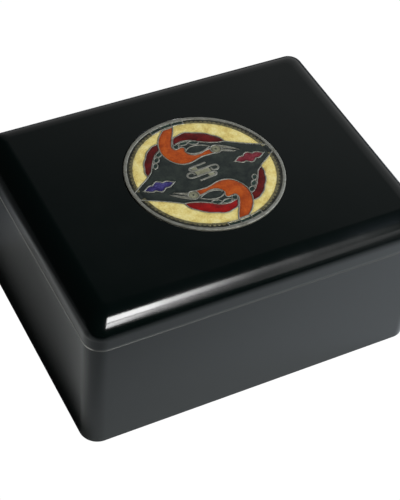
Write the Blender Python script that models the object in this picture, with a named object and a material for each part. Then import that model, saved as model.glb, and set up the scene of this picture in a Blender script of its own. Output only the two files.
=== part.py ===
"""Black lacquered wooden stamp box with a lift-off lid and a round enamelled medallion.

Units are metres, +Z is up, and the origin is the centre of the box's underside.
X runs along the box's length. The front is towards -Y.
"""

import math

import bmesh
import bpy
from mathutils import Matrix, Vector

MM = 0.001

# Outside of the box
LENGTH = 115.0 * MM
WIDTH = 88.5 * MM
HEIGHT = 54.5 * MM
SEAM_HEIGHT = 43.2 * MM
CORNER_RADIUS = 5.8 * MM
TOP_EDGE_RADIUS = 7.5 * MM
TOP_CORNER_RADIUS = 2.0 * MM
FOOT_ARRIS = 0.6 * MM
SEAM_ARRIS = 0.4 * MM

# Inside of the box
WALL = 6.0 * MM
FLOOR = 5.0 * MM
LID_WALL = 3.2 * MM
LID_HOLLOW = 5.3 * MM
TONGUE_HEIGHT = 3.0 * MM
INNER_CORNER_RADIUS = 2.0 * MM
INNER_FILLET = 1.5 * MM
INNER_ARRIS = 0.3 * MM
FIT_GAP = 0.3 * MM

# Medallion let into the lid
MEDALLION_RADIUS = 25.0 * MM
MEDALLION_PROUD = 0.3 * MM
MEDALLION_PLATE = 1.2 * MM
MEDALLION_TURN = math.radians(3.8)
ENAMEL_DROP = 0.3 * MM
RIM_WIDTH = 1.15 * MM
RIM_ARRIS = 0.2 * MM
TOOTH_DEPTH = 0.75 * MM
TOOTH_RING_WIDTH = 0.45 * MM
TOOTH_TRACK = 1.0 * MM
WIRE_RADIUS = 0.25 * MM
WIRE_STAGGER = 0.01 * MM
WIRE_LEVELS = 5
WIRE_OVERRUN = 0.13 * MM
SHARPEST_BEND = math.radians(65.0)
SHORTEST_STEP = 0.12 * MM

# Picture on the medallion, upper half; the lower half is the same turned half round
FIELD_REACH = 22.0 * MM
FIELD_RISE = 17.0 * MM
FIELD_POWER = 1.25
CRANE_LINE = ((-0.6, 21.7), (-4.1, 17.4), (-6.6, 13.0), (-5.2, 9.3), (-1.2, 7.6), (3.6, 7.4), (7.2, 7.9))
CRANE_HALF_WIDTHS = ((0.0, 2.3), (0.2, 1.9), (0.42, 2.35), (0.62, 2.3), (0.82, 1.0), (1.0, 0.8))
HEAD_PLACE = Vector((8.5, 7.9)) * MM
HEAD_RADIUS = 1.45 * MM
BEAK_LINES = (((9.6, 8.5), (14.9, 5.7)), ((9.2, 6.9), (14.4, 5.4)))
LEAF_PLACE = Vector((2.6, 10.5)) * MM
LEAF_HALF_LENGTH = 3.6 * MM
LEAF_HALF_HEIGHT = 1.45 * MM
LEAF_TURN = math.radians(-6.0)
WING_RADIUS = 17.75 * MM
WING_TIP_DROP = 1.6 * MM
RIGHT_WING_WIDTH = 3.6 * MM
LEFT_WING_WIDTH = 3.4 * MM
WING_LOBE = 0.35 * MM
COVERT_LENGTH = 2.3 * MM
COVERT_COUNT = 4
TAIL_ANGLES = (86.0, 98.0)
TAIL_HALF_ANGLE = 4.5
CLOUD_PLACE = 15.4 * MM
CLOUD_HALF_LENGTH = 5.2 * MM
CLOUD_HALF_HEIGHT = 2.3 * MM
SCROLL_SPREAD = 3.7 * MM
SCROLL_RADIUS = 2.2 * MM
SCROLL_EYE = 0.7 * MM
SCROLL_BAR = ((-3.4, 3.6), (-1.6, 3.0), (0.6, 3.3), (3.2, 3.0))

# Facets
CORNER_STEPS = 8
EDGE_STEPS = 7
ARRIS_STEPS = 2
RIM_SEGMENTS = 72

# Heights that follow from the sizes above
BASE_RIM = SEAM_HEIGHT - FIT_GAP / 2
LID_RIM = SEAM_HEIGHT + FIT_GAP / 2
HOLLOW_CEILING = SEAM_HEIGHT + LID_HOLLOW
SINKING_DEPTH = MEDALLION_PLATE + FIT_GAP - MEDALLION_PROUD
MEDALLION_TOP = HEIGHT + MEDALLION_PROUD
ENAMEL_LEVEL = MEDALLION_TOP - ENAMEL_DROP


def clear_scene():
    """Remove every object that the new file starts with."""
    for item in list(bpy.data.objects):
        bpy.data.objects.remove(item, do_unlink=True)


def make_material(name, colour, roughness, metallic, coat):
    """Return a Principled material."""
    material = bpy.data.materials.new(name)
    material.use_nodes = True
    shader = material.node_tree.nodes["Principled BSDF"]
    shader.inputs["Base Color"].default_value = (*colour, 1.0)
    shader.inputs["Roughness"].default_value = roughness
    shader.inputs["Metallic"].default_value = metallic
    shader.inputs["Coat Weight"].default_value = coat
    return material


def box_ring(inset, height, radius):
    """Return the points of a rounded rectangle, drawn in from the box's outline by inset."""
    half_x = LENGTH / 2 - inset - radius
    half_y = WIDTH / 2 - inset - radius
    ring = []
    for quarter, (side_x, side_y) in enumerate(((1, 1), (-1, 1), (-1, -1), (1, -1))):
        for step in range(CORNER_STEPS + 1):
            angle = math.pi / 2 * (quarter + step / CORNER_STEPS)
            ring.append(Vector((
                side_x * half_x + radius * math.cos(angle),
                side_y * half_y + radius * math.sin(angle),
                height,
            )))
    return ring


def round_ring(radius, height, segments):
    """Return the points of a circle, starting half a segment past the X axis."""
    ring = []
    for index in range(segments):
        angle = 2 * math.pi * (index + 0.5) / segments
        ring.append(Vector((radius * math.cos(angle), radius * math.sin(angle), height)))
    return ring


def quarter_turn(steps):
    """Return the sine and cosine of each step through a right angle, both ends included."""
    angles = [math.pi / 2 * step / steps for step in range(steps + 1)]
    return [(math.sin(angle), math.cos(angle)) for angle in angles]


def loft(name, rings, material):
    """Join rings of equal length into one closed skin, with a flat cap at each end."""
    shape = bmesh.new()
    loops = [[shape.verts.new(point) for point in ring] for ring in rings]
    count = len(loops[0])
    for lower, upper in zip(loops, loops[1:]):
        for index in range(count):
            following = (index + 1) % count
            shape.faces.new((lower[index], lower[following], upper[following], upper[index]))
    shape.faces.new(list(reversed(loops[0])))
    shape.faces.new(loops[-1])
    bmesh.ops.recalc_face_normals(shape, faces=shape.faces)
    mesh = bpy.data.meshes.new(name)
    shape.to_mesh(mesh)
    shape.free()
    mesh.shade_smooth()
    mesh.set_sharp_from_angle(angle=math.radians(30))
    mesh.materials.append(material)
    item = bpy.data.objects.new(name, mesh)
    bpy.context.scene.collection.objects.link(item)
    return item


def build_base(material):
    """Build the box's lower part: floor, four walls and the tongue that the lid fits over."""
    rings = []
    for rise, inset in quarter_turn(ARRIS_STEPS):
        across = FOOT_ARRIS * (1 - rise)
        up = FOOT_ARRIS * (1 - inset)
        rings.append(box_ring(across, up, CORNER_RADIUS - across))
    for rise, inset in quarter_turn(ARRIS_STEPS):
        across = SEAM_ARRIS * (1 - inset)
        up = BASE_RIM - SEAM_ARRIS * (1 - rise)
        rings.append(box_ring(across, up, CORNER_RADIUS - across))
    tongue_face = LID_WALL + FIT_GAP
    tongue_radius = CORNER_RADIUS - tongue_face
    tongue_top = BASE_RIM + TONGUE_HEIGHT
    rings.append(box_ring(tongue_face, BASE_RIM, tongue_radius))
    rings.append(box_ring(tongue_face, tongue_top - INNER_ARRIS, tongue_radius))
    rings.append(box_ring(tongue_face + INNER_ARRIS, tongue_top, tongue_radius))
    rings.append(box_ring(WALL - INNER_ARRIS, tongue_top, INNER_CORNER_RADIUS))
    rings.append(box_ring(WALL, tongue_top - INNER_ARRIS, INNER_CORNER_RADIUS))
    for rise, inset in quarter_turn(ARRIS_STEPS):
        across = WALL + INNER_FILLET * (1 - inset)
        up = FLOOR + INNER_FILLET * (1 - rise)
        rings.append(box_ring(across, up, INNER_CORNER_RADIUS))
    return loft("box_base", rings, material)


def build_lid(material):
    """Build the lid: hollow below, rounded over above, with a round sinking in its top."""
    rings = [
        box_ring(LID_WALL + INNER_ARRIS, HOLLOW_CEILING, INNER_CORNER_RADIUS),
        box_ring(LID_WALL, HOLLOW_CEILING - INNER_ARRIS, CORNER_RADIUS - LID_WALL),
        box_ring(LID_WALL, LID_RIM + INNER_ARRIS, CORNER_RADIUS - LID_WALL),
        box_ring(LID_WALL - INNER_ARRIS, LID_RIM, CORNER_RADIUS - LID_WALL),
    ]
    for rise, inset in quarter_turn(ARRIS_STEPS):
        across = SEAM_ARRIS * (1 - rise)
        up = LID_RIM + SEAM_ARRIS * (1 - inset)
        rings.append(box_ring(across, up, CORNER_RADIUS - across))
    for rise, inset in quarter_turn(EDGE_STEPS):
        across = TOP_EDGE_RADIUS * (1 - inset)
        up = HEIGHT - TOP_EDGE_RADIUS * (1 - rise)
        shrink = (CORNER_RADIUS - TOP_CORNER_RADIUS) * across / TOP_EDGE_RADIUS
        rings.append(box_ring(across, up, CORNER_RADIUS - shrink))
    around = len(rings[0])
    sinking_radius = MEDALLION_RADIUS + FIT_GAP
    sinking = [round_ring(sinking_radius, height, around) for height in (HEIGHT, HEIGHT - SINKING_DEPTH)]
    return loft("lid", rings + sinking, material)


def build_plate(material):
    """Build the medallion's turned plate: rim, toothed ring, and the level that carries enamel."""
    rim_inner = MEDALLION_RADIUS - RIM_WIDTH
    ring_outer = rim_inner - TOOTH_TRACK
    ring_inner = ring_outer - TOOTH_RING_WIDTH
    profile = (
        (MEDALLION_RADIUS, MEDALLION_TOP - MEDALLION_PLATE),
        (MEDALLION_RADIUS, MEDALLION_TOP - RIM_ARRIS),
        (MEDALLION_RADIUS - RIM_ARRIS, MEDALLION_TOP),
        (rim_inner + RIM_ARRIS, MEDALLION_TOP),
        (rim_inner, ENAMEL_LEVEL),
    )
    rings = [round_ring(radius, height, RIM_SEGMENTS) for radius, height in profile]
    for height in (ENAMEL_LEVEL, MEDALLION_TOP):
        ring = round_ring(ring_outer, height, RIM_SEGMENTS)
        for index in range(0, RIM_SEGMENTS, 2):
            ring[index].xy *= (ring_outer + TOOTH_DEPTH) / ring_outer
        rings.append(ring)
    for height in (MEDALLION_TOP, ENAMEL_LEVEL):
        rings.append(round_ring(ring_inner, height, RIM_SEGMENTS))
    return loft("medallion", rings, material)


def polar(radius, degrees):
    """Return the point at a radius and an angle in degrees."""
    angle = math.radians(degrees)
    return Vector((radius * math.cos(angle), radius * math.sin(angle)))


def arc_points(centre, radius, start, end, steps):
    """Return points along an arc, angles in degrees."""
    return [centre + polar(radius, start + (end - start) * step / steps) for step in range(steps + 1)]


def in_millimetres(pairs):
    """Return points given as pairs of millimetres."""
    return [Vector(pair) * MM for pair in pairs]


def smooth_line(points, steps):
    """Return a Catmull-Rom curve through the points, with that many steps to a span."""
    ends = [2 * points[0] - points[1]] + points + [2 * points[-1] - points[-2]]
    line = []
    for first, second, third, fourth in zip(ends, ends[1:], ends[2:], ends[3:]):
        for step in range(steps):
            t = step / steps
            slope = (third - first) * t
            bend = (2 * first - 5 * second + 4 * third - fourth) * t ** 2
            twist = (3 * second - first - 3 * third + fourth) * t ** 3
            line.append((2 * second + slope + bend + twist) / 2)
    return line + [points[-1]]


def eased(share, table):
    """Return the value at a share of the way along a table of shares and values."""
    for (start, low), (end, high) in zip(table, table[1:]):
        if share <= end:
            part = (share - start) / (end - start)
            return low + (high - low) * part * part * (3 - 2 * part)
    return table[-1][1]


def both_sides(middle, rises, turn=0.0):
    """Return a closed outline from a middle point and its half-heights along X."""
    facing = Matrix.Rotation(turn, 2)
    upper = [middle + facing @ Vector((along, rise)) for along, rise in rises]
    lower = [middle + facing @ Vector((along, -rise)) for along, rise in rises[1:-1]]
    return upper + list(reversed(lower))


def field_edge():
    """Return the upper edge of the dark field, from tip to tip."""
    steps = 12
    points = []
    for step in range(steps + 1):
        share = math.sin(math.pi * (step / steps - 0.5))
        points.append(Vector((FIELD_REACH * share, FIELD_RISE * (1 - abs(share) ** FIELD_POWER))))
    return points


def crane_outline():
    """Return the closed outline of a crane's tail, breast and neck, a band along one curve."""
    spine = smooth_line(in_millimetres(CRANE_LINE), 2)
    last = len(spine) - 1
    left = []
    right = []
    for index, point in enumerate(spine):
        along = (spine[min(index + 1, last)] - spine[max(index - 1, 0)]).normalized()
        across = Vector((-along.y, along.x)) * eased(index / last, CRANE_HALF_WIDTHS) * MM
        left.append(point + across)
        right.append(point - across)
    return left + list(reversed(right))


def wing_inner_radius(share, width):
    """Return how far out a wing's inner edge lies at a share of the way to its tip."""
    return WING_RADIUS - WING_TIP_DROP * share ** 3 - width * math.sqrt(max(1 - share ** 2.2, 0.0))


def wing_outline(start, end, width, lobes):
    """Return a wing that follows the picture's edge, lobed outside and narrowing to its tip."""
    steps = 2 * lobes
    outer = []
    inner = []
    for step in range(steps + 1):
        share = step / steps
        angle = start + (end - start) * share
        lobe = WING_LOBE * abs(math.sin(math.pi * lobes * share))
        outer.append(polar(WING_RADIUS + lobe - WING_TIP_DROP * share ** 3, angle))
        inner.append(polar(wing_inner_radius(share, width), angle))
    return outer + list(reversed(inner[:-1]))


def coverts(start, end, width):
    """Return a row of short covert feathers, open lobes hung from a wing's inner edge."""
    steps = 3
    lobes = []
    for index in range(COVERT_COUNT):
        length = COVERT_LENGTH * (1 - 0.5 * index / COVERT_COUNT)
        lobe = []
        for step in range(steps + 1):
            share = (index + step / steps) / COVERT_COUNT
            hang = length * math.sin(math.pi * step / steps) ** 0.45
            lobe.append(polar(wing_inner_radius(0.8 * share, width) - hang, start + (end - start) * share))
        lobes.append(lobe)
    return lobes


def leaf_outline():
    """Return the leaf-shaped cell in the crook of a crane's neck."""
    steps = 8
    rises = []
    for step in range(steps + 1):
        share = 2 * step / steps - 1
        rise = LEAF_HALF_HEIGHT * max(1 - share ** 2, 0.0) ** 0.8 * (1 - 0.25 * share)
        rises.append((LEAF_HALF_LENGTH * share, rise))
    return both_sides(LEAF_PLACE, rises, LEAF_TURN)


def cloud_outline():
    """Return the cloud near the right tip, with pointed ends and three lobes above and below."""
    steps = 12
    rises = []
    for step in range(steps + 1):
        share = 2 * step / steps - 1
        lobes = 0.62 + 0.38 * abs(math.cos(1.5 * math.pi * share))
        rises.append((CLOUD_HALF_LENGTH * share, CLOUD_HALF_HEIGHT * (1 - abs(share) ** 1.6) * lobes))
    return both_sides(Vector((CLOUD_PLACE, 0.0)), rises)


def tail_cell(middle):
    """Return one tail feather, a short cell across the toothed track."""
    inner = MEDALLION_RADIUS - RIM_WIDTH - TOOTH_TRACK
    outer = MEDALLION_RADIUS - RIM_WIDTH
    low = middle - TAIL_HALF_ANGLE
    high = middle + TAIL_HALF_ANGLE
    return [polar(inner, low), polar(outer, low), polar(outer, high), polar(inner, high)]


def scroll_half():
    """Return one spiral of the double scroll, from its eye out to the middle."""
    steps = 10
    centre = Vector((-SCROLL_SPREAD, 0.0))
    points = []
    for step in range(steps + 1):
        share = step / steps
        radius = SCROLL_EYE + (SCROLL_RADIUS - SCROLL_EYE) * share
        points.append(centre + polar(radius, -80 - 400 * (1 - share)))
    points.append(Vector((0.0, 0.0)))
    return points


def inside(point, outline):
    """Tell whether a point lies inside a closed outline."""
    hit = False
    for start, end in zip(outline, outline[1:] + outline[:1]):
        if (start.y > point.y) != (end.y > point.y):
            share = (point.y - start.y) / (end.y - start.y)
            if point.x < start.x + share * (end.x - start.x):
                hit = not hit
    return hit


def edge_point(clear, covered, covers):
    """Return the place between a clear and a covered point where the cover begins."""
    for _ in range(8):
        middle = (clear + covered) / 2
        if any(inside(middle, cover) for cover in covers):
            covered = middle
        else:
            clear = middle
    return clear


def visible_runs(path, covers):
    """Split a path into the stretches that no cover hides."""
    hidden = [any(inside(point, cover) for cover in covers) for point in path]
    runs = []
    run = []
    for index, point in enumerate(path):
        if hidden[index]:
            if run:
                run.append(edge_point(path[index - 1], point, covers))
                runs.append(run)
            run = []
            continue
        if index and hidden[index - 1]:
            run.append(edge_point(point, path[index - 1], covers))
        run.append(point)
    if run:
        runs.append(run)
    return [run for run in runs if len(run) > 1]


def picture_lines():
    """Return the upper half of the picture as pairs of a path and whether it is closed."""
    crane = crane_outline()
    right_wing = wing_outline(103, 38, RIGHT_WING_WIDTH, 5)
    left_wing = wing_outline(118, 161, LEFT_WING_WIDTH, 4)
    closed = [crane, leaf_outline(), cloud_outline()]
    closed.append(arc_points(HEAD_PLACE, HEAD_RADIUS, 0, 320, 8))
    lines = [(path, True) for path in closed]
    lines += [(in_millimetres(line), False) for line in BEAK_LINES]
    lines.append((in_millimetres(SCROLL_BAR), False))
    lines.append((scroll_half(), False))
    hidden = [(field_edge(), [crane, right_wing, left_wing])]
    hidden += [(wing + wing[:1], [crane]) for wing in (right_wing, left_wing)]
    rows = coverts(100, 62, RIGHT_WING_WIDTH) + coverts(121, 153, LEFT_WING_WIDTH)
    hidden += [(lobe, [crane]) for lobe in rows]
    hidden += [(tail_cell(angle), [crane]) for angle in TAIL_ANGLES]
    for path, covers in hidden:
        lines += [(run, False) for run in visible_runs(path, covers)]
    return lines


def wire_pieces(path, closed):
    """Cut a path at its sharp corners into pieces whose ends run a little past the corners."""
    path = [point for point, before in zip(path, path[-1:] + path) if (point - before).length > SHORTEST_STEP]
    count = len(path)
    inner = range(count) if closed else range(1, count - 1)
    corners = []
    for index in inner:
        arriving = path[index] - path[index - 1]
        leaving = path[(index + 1) % count] - path[index]
        if arriving.angle(leaving) > SHARPEST_BEND:
            corners.append(index)
    if closed and not corners:
        return [(path, True)]
    if closed:
        first = corners[0]
        path = path[first:] + path[:first + 1]
        stops = [index - first for index in corners] + [count]
    else:
        stops = [0] + corners + [count - 1]
    pieces = []
    for start, stop in zip(stops, stops[1:]):
        piece = path[start:stop + 1]
        lead = (piece[0] - piece[1]).normalized() * WIRE_OVERRUN
        trail = (piece[-1] - piece[-2]).normalized() * WIRE_OVERRUN
        pieces.append(([piece[0] + lead] + piece[1:-1] + [piece[-1] + trail], False))
    return pieces


def build_wires():
    """Lay every line of the picture as a wire bedded in the enamel level, both halves alike.

    Neighbouring wires are staggered a hair in height, so that no two tops are level where they meet.
    """
    curve = bpy.data.curves.new("wires", "CURVE")
    curve.dimensions = "3D"
    curve.bevel_depth = WIRE_RADIUS
    curve.bevel_resolution = 1
    curve.use_fill_caps = True
    pieces = []
    for path, closed in picture_lines():
        pieces += wire_pieces(path, closed)
    for half in range(2):
        turn = Matrix.Rotation(MEDALLION_TURN + math.pi * half, 2)
        for index, (piece, closed) in enumerate(pieces):
            height = ENAMEL_LEVEL + WIRE_STAGGER * (index % WIRE_LEVELS)
            spline = curve.splines.new("POLY")
            spline.points.add(len(piece) - 1)
            for place, point in zip(spline.points, piece):
                place.co = (*(turn @ point), height, 1.0)
            spline.use_cyclic_u = closed
    item = bpy.data.objects.new("wires", curve)
    bpy.context.scene.collection.objects.link(item)
    return item


def mesh_cutter(curve_item):
    """Turn a curve object into a mesh object that only serves as a Boolean operand."""
    depsgraph = bpy.context.evaluated_depsgraph_get()
    mesh = bpy.data.meshes.new_from_object(curve_item.evaluated_get(depsgraph))
    item = bpy.data.objects.new("wire_bodies", mesh)
    bpy.context.scene.collection.objects.link(item)
    item.hide_render = True
    item.display_type = "WIRE"
    bpy.data.objects.remove(curve_item, do_unlink=True)
    return item


def build_medallion(material):
    """Build the medallion as one solid: the turned plate with its raised wires."""
    plate = build_plate(material)
    union = plate.modifiers.new("wires", "BOOLEAN")
    union.operation = "UNION"
    union.solver = "EXACT"
    union.use_self = True
    union.object = mesh_cutter(build_wires())
    return plate


def main():
    """Build the three pieces of the box."""
    clear_scene()
    lacquer = make_material("black lacquer on wood", (0.010, 0.012, 0.012), 0.16, 0.0, 0.5)
    metal = make_material("nickelled brass and enamel", (0.26, 0.26, 0.23), 0.35, 1.0, 0.0)
    build_base(lacquer)
    build_lid(lacquer)
    build_medallion(metal)


main()
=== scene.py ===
"""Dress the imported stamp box: black lacquer on wood, nickel-plated brass and glassy enamel.

Lengths are in metres unless a name says millimetres. X runs along the box and the front faces -Y.
"""

from __future__ import annotations

import logging
import math
from collections.abc import Callable, Iterable, Sequence
from dataclasses import dataclass
from enum import Enum

import bmesh
import bpy
import numpy as np
from mathutils import Matrix, Vector
from mathutils.geometry import delaunay_2d_cdt


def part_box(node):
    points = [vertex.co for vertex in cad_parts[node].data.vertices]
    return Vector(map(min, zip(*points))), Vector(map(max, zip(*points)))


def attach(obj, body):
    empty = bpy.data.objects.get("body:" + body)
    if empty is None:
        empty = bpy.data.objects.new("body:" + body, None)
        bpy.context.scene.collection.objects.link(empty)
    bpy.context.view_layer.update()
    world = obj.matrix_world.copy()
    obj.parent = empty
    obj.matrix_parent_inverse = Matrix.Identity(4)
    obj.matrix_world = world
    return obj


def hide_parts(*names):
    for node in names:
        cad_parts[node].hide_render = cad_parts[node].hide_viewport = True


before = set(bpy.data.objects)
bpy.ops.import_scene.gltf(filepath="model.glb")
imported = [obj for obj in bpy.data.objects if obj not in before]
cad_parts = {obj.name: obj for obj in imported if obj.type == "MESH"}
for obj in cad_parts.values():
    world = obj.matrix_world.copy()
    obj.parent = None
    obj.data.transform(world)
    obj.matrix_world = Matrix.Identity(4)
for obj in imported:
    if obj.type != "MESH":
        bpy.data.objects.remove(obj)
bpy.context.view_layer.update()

MM = 0.001
BODY = "root"
ORIGIN = Vector((0.0, 0.0))

# Points closer than this are one point.
TOUCHING = 1e-7

# A path whose two directions at a corner add up to less than this folds back on itself.
FOLDED = 0.1

# A stretch of wire with fewer points than this isn't drawn.
SHORTEST_RUN = 3

# The sockets of a Mix node that mixes two colours.
MIX_COLOUR_A = 6
MIX_COLOUR_B = 7
MIX_COLOUR_OUT = 2

Flat = tuple[float, float]
Outline = tuple[Flat, ...]
Stops = tuple[Flat, ...]

log = logging.getLogger("stamp_box")


def linear_colour(sheet: str) -> tuple[float, float, float, float]:
    """Turn an sRGB hex colour into linear values.

    Args:
        sheet: Six hex digits, with or without a leading hash.

    Returns:
        Red, green, blue and an alpha of one.
    """
    digits = sheet.lstrip("#")
    parts = [int(digits[start:start + 2], 16) / 255 for start in (0, 2, 4)]
    linear = [part / 12.92 if part <= 0.04045 else ((part + 0.055) / 1.055) ** 2.4 for part in parts]
    return (linear[0], linear[1], linear[2], 1.0)


def per_metre(millimetres: float) -> float:
    """Return the texture scale whose features are that many millimetres across."""
    return 1.0 / (millimetres * MM)


def feed(tree: bpy.types.NodeTree, node: bpy.types.Node, inputs: dict) -> None:
    """Give a node's sockets their plain values and their links.

    Args:
        tree: The node tree that the node is in.
        node: The node.
        inputs: Socket name or number to a value, or to the output socket that feeds it.
    """
    for socket, source in inputs.items():
        if isinstance(source, bpy.types.NodeSocket):
            tree.links.new(source, node.inputs[socket])
        else:
            node.inputs[socket].default_value = source


def add_node(tree: bpy.types.NodeTree, kind: str, inputs: dict | None = None, **settings) -> bpy.types.Node:
    """Add a node with its settings, its plain values and its links.

    Args:
        tree: The node tree that the node joins.
        kind: Blender's name for the node type.
        inputs: Socket name or number to a value, or to the output socket that feeds it.
        **settings: Properties of the node itself.

    Returns:
        The new node.
    """
    node = tree.nodes.new(kind)
    for name, value in settings.items():
        setattr(node, name, value)
    feed(tree, node, inputs or {})
    return node


def colour_ramp(node: bpy.types.Node, stops: Sequence[tuple[float, tuple]]) -> bpy.types.Node:
    """Give a Color Ramp node its stops.

    Args:
        node: The Color Ramp node.
        stops: Place and colour of each stop, from low to high.

    Returns:
        The same node.
    """
    elements = node.color_ramp.elements
    while len(elements) > len(stops):
        elements.remove(elements[-1])
    while len(elements) < len(stops):
        elements.new(1.0)
    for element, (place, colour) in zip(elements, stops):
        element.position = place
        element.color = colour
    return node


def grey(value: float) -> tuple[float, float, float, float]:
    """Return a neutral colour for a ramp stop."""
    return (value, value, value, 1.0)


class Slot(Enum):
    """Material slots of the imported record."""

    LACQUER = "lacquer"
    METAL = "medallion_metal"
    ENAMEL = "enamel"


class Finish:
    """What every finish starts from: its material, node tree and shader, and the place on the object."""

    def __init__(self, name: str) -> None:
        """Make the material.

        Args:
            name: The material's name, which says what the real one is.
        """
        self.material = bpy.data.materials.new(name)
        self.material.use_nodes = True
        self.tree = self.material.node_tree
        self.shader = self.tree.nodes["Principled BSDF"]
        self.place = add_node(self.tree, "ShaderNodeTexCoord").outputs["Object"]

    def relief(self, size_mm: float, detail: float, height_mm: float, strength: float = 1.0,
               over: bpy.types.NodeSocket | None = None) -> bpy.types.NodeSocket:
        """Add a fine uneven relief.

        Args:
            size_mm: How far across its bumps are.
            detail: How many finer layers of bumps it has.
            height_mm: How high its bumps stand.
            strength: How strongly it shows.
            over: The normal of a coarser relief that it lies on.

        Returns:
            The socket that gives the normal.
        """
        noise = add_node(
            self.tree, "ShaderNodeTexNoise",
            {"Vector": self.place, "Scale": per_metre(size_mm), "Detail": detail},
        )
        inputs = {"Height": noise.outputs["Fac"], "Strength": strength, "Distance": height_mm * MM}
        if over is not None:
            inputs["Normal"] = over
        return add_node(self.tree, "ShaderNodeBump", inputs).outputs["Normal"]


@dataclass(frozen=True)
class BlackLacquer:
    """Black lacquer sprayed over sealed wood and polished to a soft gloss.

    The eye sees a near-black surface whose light is nearly all reflection: clear but soft-edged
    highlights, a faint ripple left by the spray, and a slightly uneven gloss from rubbing and handling.
    Along the seam runs a thin pale line of painted highlight, standing in for the light that the lid's
    lower edge catches. It is painted palest on the left side, where the lamps give it little light.
    The marks of rubbing are drawn coarser than real ones, so that they show.
    """

    body: str = "#020807"
    ior: float = 1.5
    roughness: float = 0.17
    roughness_spread: float = 0.035
    ripple_mm: float = 4.0
    ripple_height_mm: float = 0.0016
    rub_mm: float = 0.35
    rub_height_mm: float = 0.00012
    handling_mm: float = 22.0
    handling_span: Flat = (0.3, 0.7)
    # Painted highlight along the seam: its colour, its paler colour on the left side, how far it reaches
    # either side of the seam, and where along X it turns paler.
    seam_highlight: str = "#525350"
    seam_highlight_left: str = "#cfd1cb"
    seam_highlight_mm: float = 0.3
    left_mm: Flat = (-57.0, -55.5)

    def seam_tint(self, finish: Finish, seam: float) -> bpy.types.NodeSocket:
        """Make the colour: black, but with a thin pale line of painted highlight at the seam.

        Args:
            finish: The finish that takes the colour.
            seam: Height of the seam.

        Returns:
            The socket that gives the colour.
        """
        tree = finish.tree
        parts = add_node(tree, "ShaderNodeSeparateXYZ", {"Vector": finish.place})
        above = add_node(tree, "ShaderNodeMath", {0: parts.outputs["Z"], 1: seam}, operation="SUBTRACT")
        away = add_node(tree, "ShaderNodeMath", {0: above.outputs["Value"]}, operation="ABSOLUTE")
        # Painted highlight: a thin pale line along the seam, fading out a short way above and below it.
        seam_highlight_share = add_node(
            tree, "ShaderNodeMapRange",
            {"Value": away.outputs["Value"], "From Max": self.seam_highlight_mm * MM, "To Min": 1.0, "To Max": 0.0},
            interpolation_type="SMOOTHSTEP",
        )
        # The painted highlight is palest on the box's left side, where the lamps light the seam little.
        start, end = self.left_mm
        from_left = add_node(
            tree, "ShaderNodeMapRange",
            {"Value": parts.outputs["X"], "From Min": start * MM, "From Max": end * MM},
        )
        seam_highlight = colour_ramp(
            add_node(tree, "ShaderNodeValToRGB", {"Fac": from_left.outputs["Result"]}),
            ((0.0, linear_colour(self.seam_highlight_left)), (1.0, linear_colour(self.seam_highlight))),
        )
        tint = add_node(
            tree, "ShaderNodeMix",
            {
                0: seam_highlight_share.outputs["Result"], MIX_COLOUR_A: linear_colour(self.body),
                MIX_COLOUR_B: seam_highlight.outputs["Color"],
            },
            data_type="RGBA",
        )
        return tint.outputs[MIX_COLOUR_OUT]

    def build(self, seam: float) -> bpy.types.Material:
        """Make the material.

        Args:
            seam: Height of the seam, where a thin pale line of painted highlight lies on the lacquer.

        Returns:
            The lacquer.
        """
        finish = Finish("black_lacquer_on_wood")
        handling = add_node(
            finish.tree, "ShaderNodeTexNoise",
            {"Vector": finish.place, "Scale": per_metre(self.handling_mm), "Detail": 4.0, "Roughness": 0.6},
        )
        low, high = self.handling_span
        gloss = add_node(
            finish.tree, "ShaderNodeMapRange",
            {
                "Value": handling.outputs["Fac"], "From Min": low, "From Max": high,
                "To Min": self.roughness - self.roughness_spread,
                "To Max": self.roughness + self.roughness_spread,
            },
        )
        ripple = finish.relief(self.ripple_mm, 1.0, self.ripple_height_mm)
        feed(finish.tree, finish.shader, {
            "Base Color": self.seam_tint(finish, seam),
            "IOR": self.ior,
            "Roughness": gloss.outputs["Result"],
            "Normal": finish.relief(self.rub_mm, 3.0, self.rub_height_mm, over=ripple),
        })
        return finish.material


@dataclass(frozen=True)
class AgedBrass:
    """Struck or drawn brass, with or without dull nickel plating, wiped but not polished.

    The eye sees a metal with a broad, dull sheen, a little darker in patches where it has tarnished,
    and fine wiping marks, drawn coarser than real ones so that they show.
    """

    name: str = "dull_nickelled_brass"
    bright: str = "#adac9f"
    tarnished: str = "#959486"
    roughness: float = 0.72
    duller: float = 0.08
    brighter: float = 0.06
    tarnish_mm: float = 1.6
    tarnish_span: Flat = (0.36, 0.58)
    gloss_span: Flat = (0.35, 0.65)
    wipe_mm: float = 0.22
    wipe_height_mm: float = 0.004
    wipe_strength: float = 0.6

    def build(self) -> bpy.types.Material:
        """Make the material.

        Returns:
            The brass.
        """
        finish = Finish(self.name)
        tarnish = add_node(
            finish.tree, "ShaderNodeTexNoise",
            {"Vector": finish.place, "Scale": per_metre(self.tarnish_mm), "Detail": 5.0, "Roughness": 0.62},
        )
        darkest, palest = self.tarnish_span
        tint = colour_ramp(
            add_node(finish.tree, "ShaderNodeValToRGB", {"Fac": tarnish.outputs["Fac"]}),
            ((darkest, linear_colour(self.tarnished)), (palest, linear_colour(self.bright))),
        )
        low, high = self.gloss_span
        gloss = add_node(
            finish.tree, "ShaderNodeMapRange",
            {
                "Value": tarnish.outputs["Fac"], "From Min": low, "From Max": high,
                "To Min": self.roughness + self.duller, "To Max": self.roughness - self.brighter,
            },
        )
        feed(finish.tree, finish.shader, {
            "Metallic": 1.0,
            "Base Color": tint.outputs["Color"],
            "Roughness": gloss.outputs["Result"],
            "Normal": finish.relief(self.wipe_mm, 2.0, self.wipe_height_mm, self.wipe_strength),
        })
        return finish.material


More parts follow.
